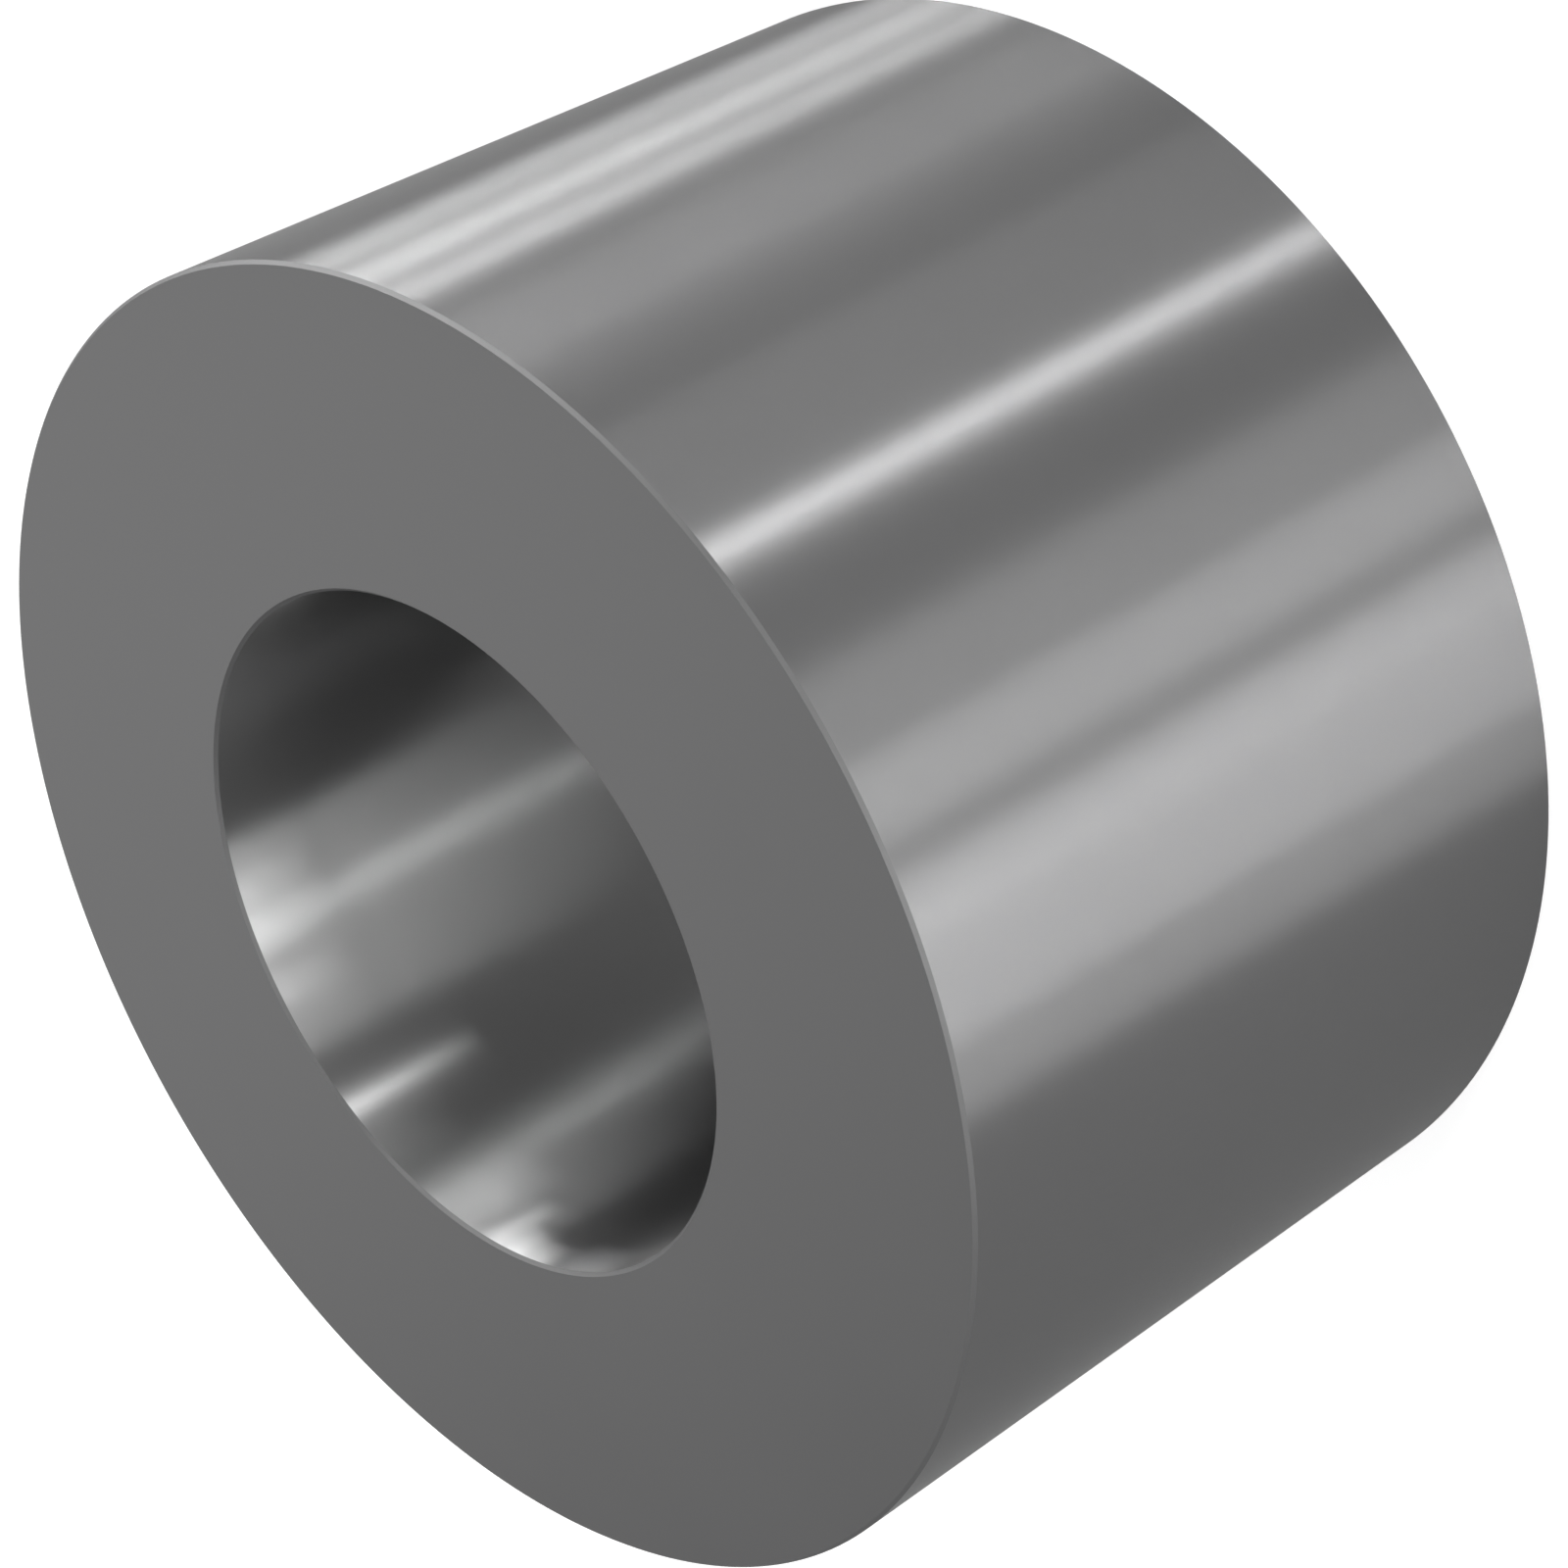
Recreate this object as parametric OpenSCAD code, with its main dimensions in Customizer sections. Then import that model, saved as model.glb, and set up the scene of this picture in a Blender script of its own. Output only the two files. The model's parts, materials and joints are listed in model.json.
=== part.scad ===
// Plain bushing: a thick-walled straight ring with a through bore, turned in one piece.
// It stands on one end face, with the bore along Z and the lower face on Z = 0.

/* [Ring] */
// Outside diameter of the ring
outer_d = 20; // [16:0.5:40]
// Diameter of the through bore
bore_d = 10.5; // [4:0.5:14]
// Length of the ring from end face to end face
ring_l = 12; // [4:0.5:60]

/* [Edges] */
// Width of the fine edge break round the outside of each end face
outer_break = 0.05; // [0.02:0.01:0.3]
// Width of the fine edge break round each mouth of the bore
bore_break = 0.05; // [0.02:0.01:0.3]

/* [Hidden] */
outer_r = outer_d / 2;
bore_r = bore_d / 2;
// Sides used only for the on-screen preview of the round surfaces
preview_sides = 144;

// Half section of the ring, in radius and height, anticlockwise from the lower mouth of the bore
function ring_section() = [
    [bore_r + bore_break, 0],
    [outer_r - outer_break, 0],
    [outer_r, outer_break],
    [outer_r, ring_l - outer_break],
    [outer_r - outer_break, ring_l],
    [bore_r + bore_break, ring_l],
    [bore_r, ring_l - bore_break],
    [bore_r, bore_break]
];

module bushing() {
    color("dimgray")
        rotate_extrude($fn = preview_sides)
            polygon(ring_section());
}

bushing();
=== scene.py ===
"""A plain turned steel bushing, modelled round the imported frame, and the studio that shows it."""

import json
import math

import bmesh
import bpy
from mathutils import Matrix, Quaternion, Vector


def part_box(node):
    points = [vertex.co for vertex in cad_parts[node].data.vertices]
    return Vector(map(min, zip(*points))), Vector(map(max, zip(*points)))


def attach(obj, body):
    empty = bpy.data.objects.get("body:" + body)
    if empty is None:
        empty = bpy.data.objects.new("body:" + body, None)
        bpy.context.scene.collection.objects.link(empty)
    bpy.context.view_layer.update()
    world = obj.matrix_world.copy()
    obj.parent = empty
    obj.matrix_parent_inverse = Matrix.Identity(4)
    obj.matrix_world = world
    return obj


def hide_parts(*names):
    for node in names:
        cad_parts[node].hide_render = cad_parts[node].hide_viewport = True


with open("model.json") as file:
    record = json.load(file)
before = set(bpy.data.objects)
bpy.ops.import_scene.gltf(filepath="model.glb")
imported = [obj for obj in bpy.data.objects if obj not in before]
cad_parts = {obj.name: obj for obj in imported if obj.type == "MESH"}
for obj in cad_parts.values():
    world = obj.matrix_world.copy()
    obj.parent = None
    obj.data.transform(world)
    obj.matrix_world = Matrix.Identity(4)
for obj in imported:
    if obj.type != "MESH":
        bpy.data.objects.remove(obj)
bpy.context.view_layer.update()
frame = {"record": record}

bl_info = {
    "name": "Plain bushing",
    "version": (1, 0, 0),
    "blender": (4, 5, 0),
    "location": "View3D > Sidebar > Bushing",
    "description": "Models a plain turned steel bushing and the studio that shows it",
    "category": "Object",
}

MM = 0.001

# Sizes of the solid bushing, read from the frame
LOW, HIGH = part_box("bushing")
BORE = next(m for m in frame["record"]["mounts"] if m["name"] == "bore")
OUTER_D = HIGH.x - LOW.x
LENGTH = HIGH.z - LOW.z
BORE_D = 2 * BORE["dims"]["r_mm"] * MM
EDGE_BREAK = (LENGTH - BORE["dims"]["length_mm"] * MM) / 2

# Order of the material slots on the ring
OUTER_WALL, END_FACES, BORE_WALL, EDGES = range(4)

# How upright a face's normal is, from 0 on the walls to 1 on the end faces: the least for an end face and
# for a broken edge
END_FACE_UPRIGHT = 0.95
EDGE_UPRIGHT = 0.1

# Least angle across an edge that is a rim of the plain ring, and across an edge that is shaded sharp
RIM_ANGLE = math.radians(60)
SHARP_ANGLE = math.radians(30)

# The part of the height of the UV map that each turned surface fills, from its low end to its high end.
UV_MAP = "OFBake"
UV_BANDS = {
    "outer_wall": (0.005, 0.300),
    "bore_wall": (0.310, 0.605),
    "lower_face": (0.615, 0.765),
    "upper_face": (0.775, 0.925),
    "lower_outer_edge": (0.935, 0.948),
    "upper_outer_edge": (0.952, 0.964),
    "lower_bore_edge": (0.968, 0.980),
    "upper_bore_edge": (0.984, 0.996),
}

# Cloudiness that handling leaves on the bare steel: the size and detail of its patches, how far they darken
# or lighten the colour, and how far they move the roughness either way
CLOUD_SIZE = 4 * MM
CLOUD_DETAIL = 3.0
CLOUD_DARKEST, CLOUD_LIGHTEST = 0.96, 1.04
CLOUD_ROUGHNESS = 0.015

# Unevenness of the tool marks: how many pitches one stretch of it spans, and its shift in radians
WANDER_SPAN = 10
WANDER_SHIFT = 12.0
# Steepest rise of the marks on the end faces and the broken edges, which are nearly smooth
FAINT_SLOPE = 0.01

# How far the finest marks draw a reflection out, and the share of a turn that lays it along the axis
FULL_GRAIN, NO_GRAIN = 1.0, 0.0
GRAIN_TURN = 0.25

WHITE = (1, 1, 1, 1)
# How far the floor lies below the lower end face, so that the two surfaces stay apart
FLOOR_DROP = 0.005 * MM


class BushingSizes(bpy.types.PropertyGroup):
    """Sizes of the ring."""

    outer_d: bpy.props.FloatProperty(
        name="Outside diameter",
        description="Diameter of the outer wall",
        default=OUTER_D,
        unit="LENGTH",
    )
    bore_d: bpy.props.FloatProperty(
        name="Bore",
        description="Diameter of the through bore",
        default=BORE_D,
        unit="LENGTH",
    )
    length: bpy.props.FloatProperty(
        name="Length",
        description="Distance between the two end faces",
        default=LENGTH,
        unit="LENGTH",
    )
    edge_break: bpy.props.FloatProperty(
        name="Edge break",
        description="Width of the fine edge break on the four rims",
        default=EDGE_BREAK,
        precision=5,
        unit="LENGTH",
    )
    sides: bpy.props.IntProperty(
        name="Sides",
        description="Number of flats that the round surfaces are made of",
        default=256,
        min=64,
    )


class BushingFinish(bpy.types.PropertyGroup):
    """Colours and finish of the steel."""

    steel: bpy.props.FloatVectorProperty(
        name="Steel",
        description="Colour of the bare steel",
        default=(0.140, 0.140, 0.141),
        subtype="COLOR",
    )
    # The bore's steel is lighter than the outer wall's: painted light, standing in for the light that the
    # bore, closed below by the floor, doesn't get
    bore_steel_painted_light: bpy.props.FloatVectorProperty(
        name="Bored steel",
        description="Colour of the freshly bored wall, which is lighter than the outer one",
        default=(0.270, 0.270, 0.271),
        subtype="COLOR",
    )
    grazing_shine: bpy.props.FloatProperty(
        name="Grazing shine",
        description="How strongly the steel mirrors at a grazing angle, where 1 is a bright bare metal",
        default=0.5,
        subtype="FACTOR",
    )
    wall_roughness: bpy.props.FloatProperty(
        name="Outer wall roughness",
        description="Roughness of the fine-turned outer wall",
        default=0.30,
        subtype="FACTOR",
    )
    face_roughness: bpy.props.FloatProperty(
        name="End face roughness",
        description="Roughness of the faced ends",
        default=0.5,
        subtype="FACTOR",
    )
    bore_roughness: bpy.props.FloatProperty(
        name="Bore roughness",
        description="Roughness of the bored wall",
        default=0.36,
        subtype="FACTOR",
    )
    edge_roughness: bpy.props.FloatProperty(
        name="Edge roughness",
        description="Roughness of the broken edges",
        default=0.55,
        subtype="FACTOR",
    )
    mark_pitch: bpy.props.FloatProperty(
        name="Tool mark pitch",
        description="Distance from one turning mark to the next",
        default=0.01 * MM,
        precision=6,
        unit="LENGTH",
    )
    mark_slope: bpy.props.FloatProperty(
        name="Tool mark slope",
        description="Steepest rise of the turning marks on the outer wall and in the bore",
        default=0.45,
        subtype="FACTOR",
    )


class BushingStudio(bpy.types.PropertyGroup):
    """Floor, backdrop and light."""

    floor: bpy.props.FloatVectorProperty(
        name="Floor",
        description="Colour of the floor",
        default=(0.55, 0.55, 0.55),
        subtype="COLOR",
    )
    floor_size: bpy.props.FloatProperty(
        name="Floor size",
        description="Length of the square floor's sides",
        default=0.9,
        unit="LENGTH",
    )
    floor_glow: bpy.props.FloatProperty(
        name="Floor glow",
        description="Brightness of its own, as a light table has, which keeps the floor's shadows pale",
        default=0.55,
    )
    backdrop: bpy.props.FloatProperty(
        name="Backdrop",
        description="Brightness of the white backdrop round the floor",
        default=1.0,
    )
    backdrop_top: bpy.props.FloatProperty(
        name="Top of backdrop",
        description="Elevation up to which the backdrop is white",
        default=math.radians(10),
        subtype="ANGLE",
    )
    ceiling: bpy.props.FloatProperty(
        name="Ceiling",
        description="Brightness of the dimmer studio above the backdrop",
        default=0.35,
    )
    ceiling_start: bpy.props.FloatProperty(
        name="Start of ceiling",
        description="Elevation from which the studio is as dim as its ceiling",
        default=math.radians(20),
        subtype="ANGLE",
    )


def only(piece):
    """Deselects everything and makes piece the selected, active object."""
    bpy.ops.object.select_all(action="DESELECT")
    piece.select_set(True)
    bpy.context.view_layer.objects.active = piece


def select_faces(piece, wanted):
    """Selects just the faces that wanted(face) picks, in edit mode."""
    bpy.ops.mesh.select_mode(type="FACE")
    bpy.ops.mesh.select_all(action="DESELECT")
    mesh = bmesh.from_edit_mesh(piece.data)
    for face in mesh.faces:
        face.select_set(bool(wanted(face)))
    bmesh.update_edit_mesh(piece.data)


def select_edges(piece, wanted):
    """Selects just the edges that wanted(edge) picks, in edit mode."""
    bpy.ops.mesh.select_mode(type="EDGE")
    bpy.ops.mesh.select_all(action="DESELECT")
    mesh = bmesh.from_edit_mesh(piece.data)
    for edge in mesh.edges:
        edge.select_set(bool(wanted(edge)))
    bmesh.update_edit_mesh(piece.data)


def turned_surface(face, sizes):
    """The turned surface that a face of the ring belongs to, and its material slot."""
    centre = face.center
    radius = math.hypot(centre.x, centre.y)
    level = "upper" if centre.z > sizes.length / 2 else "lower"
    outside = radius > (sizes.outer_d + sizes.bore_d) / 4
    upright = abs(face.normal.z)
    if upright > END_FACE_UPRIGHT:
        return f"{level}_face", END_FACES
    if upright > EDGE_UPRIGHT:
        side = "outer" if outside else "bore"
        return f"{level}_{side}_edge", EDGES
    if outside:
        return "outer_wall", OUTER_WALL
    return "bore_wall", BORE_WALL


def unroll(piece, sizes):
    """Lays each turned surface out flat on the UV map, with the turn across and the profile up."""
    mesh = piece.data
    while mesh.uv_layers:
        mesh.uv_layers.remove(mesh.uv_layers[0])
    layer = mesh.uv_layers.new(name=UV_MAP)
    spans = {}
    for face in mesh.polygons:
        surface, slot = turned_surface(face, sizes)
        for index in face.vertices:
            along = profile_place(mesh.vertices[index].co, slot)
            low, high = spans.get(surface, (along, along))
            spans[surface] = (min(low, along), max(high, along))
    for face in mesh.polygons:
        surface, slot = turned_surface(face, sizes)
        face.material_index = slot
        bottom, top = UV_BANDS[surface]
        low, high = spans[surface]
        middle = math.atan2(face.center.y, face.center.x)
        for corner in face.loop_indices:
            place = mesh.vertices[mesh.loops[corner].vertex_index].co
            turn = math.remainder(math.atan2(place.y, place.x) - middle, math.tau)
            share = (profile_place(place, slot) - low) / (high - low)
            across = (middle + turn) / math.tau + 0.5
            layer.data[corner].uv = (across, bottom + (top - bottom) * share)


def profile_place(place, slot):
    """How far along its surface's profile a point lies: outwards on the end faces, and upwards elsewhere."""
    if slot == END_FACES:
        return math.hypot(place.x, place.y)
    return place.z


class Nodes:
    """A material's node tree, with short calls to fill it."""

    def __init__(self, material):
        material.use_nodes = True
        self.tree = material.node_tree
        self.tree.nodes.clear()

    def add(self, kind, settings=None, **inputs):
        """Adds a node. settings are its own properties. inputs are values or sockets for its own sockets,
        which go by name, with _ for a space, or by number, as _0 for the first."""
        node = self.tree.nodes.new(kind)
        for name, value in (settings or {}).items():
            setattr(node, name, value)
        for name, value in inputs.items():
            socket = node.inputs[int(name[1:]) if name[1:].isdigit() else name.replace("_", " ")]
            if isinstance(value, bpy.types.NodeSocket):
                self.tree.links.new(value, socket)
            else:
                socket.default_value = value
        return node

    def maths(self, operation, first, second=0.0):
        """One Math node's result."""
        return self.add("ShaderNodeMath", {"operation": operation}, _0=first, _1=second).outputs[0]

    def vector(self, operation, first, second=(0, 0, 0)):
        """One Vector Math node's result."""
        return self.add("ShaderNodeVectorMath", {"operation": operation}, _0=first, _1=second).outputs[0]


def across_marks(nodes, along):
    """Across the tool marks: the direction in which the profile runs, and how far along it a point lies."""
    place = nodes.add("ShaderNodeTexCoord").outputs["Object"]
    parts = nodes.add("ShaderNodeSeparateXYZ", _0=place)
    if along == "axis":
        return nodes.add("ShaderNodeCombineXYZ", Z=1.0).outputs[0], parts.outputs["Z"]
    flat = nodes.add("ShaderNodeCombineXYZ", X=parts.outputs["X"], Y=parts.outputs["Y"]).outputs[0]
    radius = nodes.add("ShaderNodeVectorMath", {"operation": "LENGTH"}, _0=flat).outputs["Value"]
    return nodes.vector("NORMALIZE", flat), radius


def tool_marks(nodes, along, pitch, steepness):
    """The normal over fine, slightly uneven turning marks, which rise and fall by steepness at most."""
    direction, distance = across_marks(nodes, along)
    wander = nodes.maths("MULTIPLY", clouds(nodes, WANDER_SPAN * pitch), WANDER_SHIFT)
    turns = nodes.maths("DIVIDE", distance, pitch / math.tau)
    marks = nodes.maths("SINE", nodes.maths("ADD", turns, wander))
    uphill = nodes.add(
        "ShaderNodeVectorTransform",
        {"vector_type": "VECTOR", "convert_from": "OBJECT", "convert_to": "WORLD"},
        Vector=direction,
    )
    lean = nodes.add(
        "ShaderNodeVectorMath",
        {"operation": "SCALE"},
        _0=uphill.outputs[0],
        Scale=nodes.maths("MULTIPLY", marks, steepness),
    )
    smooth = nodes.add("ShaderNodeNewGeometry").outputs["Normal"]
    return nodes.vector("NORMALIZE", nodes.vector("ADD", smooth, lean.outputs[0]))


def clouds(nodes, size):
    """Cloudy change over the surface, from 0 to 1, in patches of about that size."""
    place = nodes.add("ShaderNodeTexCoord").outputs["Object"]
    noise = nodes.add("ShaderNodeTexNoise", Vector=place, Scale=1 / size, Detail=CLOUD_DETAIL)
    return noise.outputs["Fac"]


def spread(nodes, share, low, high):
    """A 0 to 1 share mapped to the range from low to high."""
    return nodes.add("ShaderNodeMapRange", Value=share, To_Min=low, To_Max=high).outputs["Result"]


def turned_steel(name, finish, colour, roughness, along, grain, steepness):
    """Bare steel with tool marks. grain is how far the finest marks draw a reflection out, from 0 to 1."""
    material = bpy.data.materials.new(name)
    nodes = Nodes(material)
    cloud = clouds(nodes, CLOUD_SIZE)
    tint = nodes.add(
        "ShaderNodeVectorMath",
        {"operation": "SCALE"},
        _0=tuple(colour),
        Scale=spread(nodes, cloud, CLOUD_DARKEST, CLOUD_LIGHTEST),
    )
    shader = nodes.add(
        "ShaderNodeBsdfPrincipled",
        Base_Color=tint.outputs[0],
        Metallic=1.0,
        Roughness=spread(nodes, cloud, roughness - CLOUD_ROUGHNESS, roughness + CLOUD_ROUGHNESS),
        Specular_Tint=(finish.grazing_shine, finish.grazing_shine, finish.grazing_shine, 1),
        Anisotropic=grain,
        Anisotropic_Rotation=GRAIN_TURN,
        Normal=tool_marks(nodes, along, finish.mark_pitch, steepness),
    )
    nodes.add("ShaderNodeOutputMaterial", Surface=shader.outputs[0])
    return material


def ring_materials(finish):
    """The finishes of the ring, in the order of its material slots."""
    steel, lightened_bore, slope = finish.steel, finish.bore_steel_painted_light, finish.mark_slope
    wall, face, bore, edge = (
        finish.wall_roughness,
        finish.face_roughness,
        finish.bore_roughness,
        finish.edge_roughness,
    )
    return (
        turned_steel("outer_wall_steel", finish, steel, wall, "axis", FULL_GRAIN, slope),
        turned_steel("end_face_steel", finish, steel, face, "radius", NO_GRAIN, FAINT_SLOPE),
        # The bore wall takes the lighter steel, whose extra lightness is painted light
        turned_steel("bore_steel", finish, lightened_bore, bore, "axis", FULL_GRAIN, slope),
        turned_steel("broken_edge_steel", finish, steel, edge, "axis", NO_GRAIN, FAINT_SLOPE),
    )


class BUSHING_OT_add_ring(bpy.types.Operator):
    """Models the ring: a cylinder with its ends inset to the bore, bored through, and its rims broken"""

    bl_idname = "bushing.add_ring"
    bl_label = "Add ring"

    def execute(self, context):
        sizes = context.scene.bushing_sizes
        finish = context.scene.bushing_finish
        bpy.ops.object.select_all(action="DESELECT")
        bpy.ops.mesh.primitive_cylinder_add(
            vertices=sizes.sides,
            radius=sizes.outer_d / 2,
            depth=sizes.length,
            end_fill_type="NGON",
            location=(0, 0, sizes.length / 2),
        )
        ring = context.active_object
        ring.name = "bushing_ring"
        ring.data.name = "bushing_ring"
        only(ring)
        bpy.ops.object.transform_apply(location=True, rotation=True, scale=True)
        bpy.ops.object.mode_set(mode="EDIT")
        # The inset is measured between the flats, so the corners of the bore land on its radius
        wall = (sizes.outer_d - sizes.bore_d) / 2 * math.cos(math.pi / sizes.sides)
        select_faces(ring, lambda face: abs(face.normal.z) > END_FACE_UPRIGHT)
        bpy.ops.mesh.inset(thickness=wall, use_even_offset=True)
        bpy.ops.mesh.bridge_edge_loops()
        select_edges(ring, lambda edge: edge.calc_face_angle(0) > RIM_ANGLE)
        bpy.ops.mesh.bevel(offset=sizes.edge_break, offset_type="OFFSET", segments=1, affect="EDGES")
        bpy.ops.mesh.select_all(action="SELECT")
        bpy.ops.mesh.normals_make_consistent(inside=False)
        bpy.ops.object.mode_set(mode="OBJECT")
        bpy.ops.object.shade_smooth_by_angle(angle=SHARP_ANGLE)
        for material in ring_materials(finish):
            ring.data.materials.append(material)
        unroll(ring, sizes)
        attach(ring, "root")
        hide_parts("bushing")
        return {"FINISHED"}


def floor_material(studio):
    """A light table's floor, which shows as white all round the ring and still takes its shadow."""
    material = bpy.data.materials.new("floor")
    nodes = Nodes(material)
    diffuse = nodes.add("ShaderNodeBsdfDiffuse", Color=(*studio.floor, 1))
    glow = nodes.add("ShaderNodeEmission", Color=WHITE, Strength=studio.floor_glow)
    both = nodes.add("ShaderNodeAddShader", _0=diffuse.outputs[0], _1=glow.outputs[0])
    nodes.add("ShaderNodeOutputMaterial", Surface=both.outputs[0])
    return material


def studio_world(studio):
    """A white backdrop low round the floor, and a dimmer studio above it."""
    world = bpy.data.worlds.new("studio")
    bpy.context.scene.world = world
    nodes = Nodes(world)
    direction = nodes.add("ShaderNodeTexCoord").outputs["Generated"]
    height = nodes.add("ShaderNodeSeparateXYZ", _0=direction).outputs["Z"]
    light = nodes.add(
        "ShaderNodeMapRange",
        {"interpolation_type": "SMOOTHSTEP"},
        Value=height,
        From_Min=math.sin(studio.backdrop_top),
        From_Max=math.sin(studio.ceiling_start),
        To_Min=studio.backdrop,
        To_Max=studio.ceiling,
    )
    background = nodes.add("ShaderNodeBackground", Color=WHITE, Strength=light.outputs[0])
    nodes.add("ShaderNodeOutputWorld", Surface=background.outputs[0])


# Distance of every softbox from the ring, in metres
SOFTBOX_DISTANCE = 0.5
# The softboxes: name, azimuth, degrees across, elevations of the lower and upper edge, and brightness, with
# 1 as white. The low ones draw the streaks on the walls.
SOFTBOXES = (
    ("key_panel", 37, 7, 0.5, 6, 80.0),
    ("key_panel_mid", 28.5, 6, 0.5, 7, 90.0),
    ("key_panel_end", 20.5, 5, 0.5, 11, 52.0),
    ("key_side", 56, 18, 3, 9, 12.0),
    ("left_fill", 5, 15, 7, 14, 17.0),
    ("key_fill", 15, 40, 14, 36, 3.0),
    ("narrow_strip", -43, 3, 0.5, 16, 68.0),
    ("strip_fill", -28, 18, 0.5, 10, 5.5),
    ("side_edge", -70, 12, 0.5, 10, 5.5),
    ("side_panel", -84, 12, 0.5, 10, 18.0),
    ("broad_panel", -108, 26, 0.5, 10, 22.0),
    ("broad_edge", -127, 10, 0.5, 10, 9.0),
    ("broad_fill", -98, 70, 14, 40, 4.0),
    ("bore_strip", -105, 3, 25, 55, 25.0),
    ("far_strip", 0, 3, 25, 50, 25.0),
    ("back_fill", 96, 34, 14, 45, 1.7),
    ("back_sky", 105, 80, 14, 60, 0.4),
)


def direction_of(azimuth, elevation):
    """Unit vector towards an azimuth, anticlockwise from +X, and an elevation, in degrees."""
    turn, rise = math.radians(azimuth), math.radians(elevation)
    return Vector((math.cos(turn) * math.cos(rise), math.sin(turn) * math.cos(rise), math.sin(rise)))


def add_softbox(name, azimuth, across, low, high, brightness):
    """A rectangular lamp that faces the ring, spans those degrees and has the power for its brightness."""
    rise = (low + high) / 2
    towards = direction_of(azimuth, rise)
    data = bpy.data.lights.new(name, "AREA")
    data.shape = "RECTANGLE"
    data.size = 2 * SOFTBOX_DISTANCE * math.tan(math.radians(across / 2)) * math.cos(math.radians(rise))
    data.size_y = 2 * SOFTBOX_DISTANCE * math.tan(math.radians((high - low) / 2))
    data.energy = brightness * math.pi * data.size * data.size_y
    lamp = bpy.data.objects.new(name, data)
    lamp.location = SOFTBOX_DISTANCE * towards
    lamp.rotation_euler = towards.to_track_quat("Z", "Y").to_euler()
    bpy.context.scene.collection.objects.link(lamp)


# Camera at the photograph's angle. The point that it looks at, its distance, its lens and its sensor are in
# millimetres, and its angles in degrees.
CAMERA_AIM = (-0.35, -0.11, 5.68)
CAMERA_DISTANCE = 64.9
CAMERA_AZIMUTH = -72.07
CAMERA_ELEVATION = 35.85
CAMERA_ROLL = -119.27
CAMERA_LENS = 100.09
CAMERA_SENSOR = 36.0
# Nearest and farthest distance that the camera sees, in metres
CAMERA_NEAREST = 0.001
CAMERA_FARTHEST = 100.0


def add_camera():
    """The camera: close, looking down at the ring, and rolled over so that the ring points to the right."""
    towards = direction_of(CAMERA_AZIMUTH, CAMERA_ELEVATION)
    data = bpy.data.cameras.new("camera")
    data.lens = CAMERA_LENS
    data.sensor_width = CAMERA_SENSOR
    data.clip_start = CAMERA_NEAREST
    data.clip_end = CAMERA_FARTHEST
    camera = bpy.data.objects.new("camera", data)
    camera.location = MM * (Vector(CAMERA_AIM) + CAMERA_DISTANCE * towards)
    level = (-towards).to_track_quat("-Z", "Y")
    camera.rotation_euler = (level @ Quaternion((0, 0, 1), math.radians(CAMERA_ROLL))).to_euler()
    bpy.context.scene.collection.objects.link(camera)
    bpy.context.scene.camera = camera


class BUSHING_OT_set_stage(bpy.types.Operator):
    """Sets the plain floor, the backdrop, the softboxes and the camera"""

    bl_idname = "bushing.set_stage"
    bl_label = "Set stage"

    def execute(self, context):
        studio = context.scene.bushing_studio
        bpy.ops.object.select_all(action="DESELECT")
        bpy.ops.mesh.primitive_plane_add(size=studio.floor_size, location=(0, 0, -FLOOR_DROP))
        floor = context.active_object
        floor.name = "floor"
        floor.data.materials.append(floor_material(studio))
        studio_world(studio)
        for softbox in SOFTBOXES:
            add_softbox(*softbox)
        add_camera()
        context.scene.view_settings.view_transform = "Standard"
        return {"FINISHED"}


class BUSHING_PT_panel(bpy.types.Panel):
    """Lists the ring, its finish and the stage"""

    bl_idname = "BUSHING_PT_panel"
    bl_label = "Bushing"
    bl_space_type = "VIEW_3D"
    bl_region_type = "UI"
    bl_category = "Bushing"

    def draw(self, context):
        scene = context.scene
        for group in (scene.bushing_sizes, scene.bushing_finish, scene.bushing_studio):
            box = self.layout.box()
            for name in group.__annotations__:
                box.prop(group, name)
        self.layout.operator("bushing.add_ring")
        self.layout.operator("bushing.set_stage")


CLASSES = (
    BushingSizes,
    BushingFinish,
    BushingStudio,
    BUSHING_OT_add_ring,
    BUSHING_OT_set_stage,
    BUSHING_PT_panel,
)


def register():
    for kind in CLASSES:
        bpy.utils.register_class(kind)
    bpy.types.Scene.bushing_sizes = bpy.props.PointerProperty(type=BushingSizes)
    bpy.types.Scene.bushing_finish = bpy.props.PointerProperty(type=BushingFinish)
    bpy.types.Scene.bushing_studio = bpy.props.PointerProperty(type=BushingStudio)


def unregister():
    del bpy.types.Scene.bushing_studio
    del bpy.types.Scene.bushing_finish
    del bpy.types.Scene.bushing_sizes
    for kind in reversed(CLASSES):
        bpy.utils.unregister_class(kind)


def main():
    register()
    bpy.ops.bushing.add_ring()
    bpy.ops.bushing.set_stage()


if __name__ == "__main__":
    main()
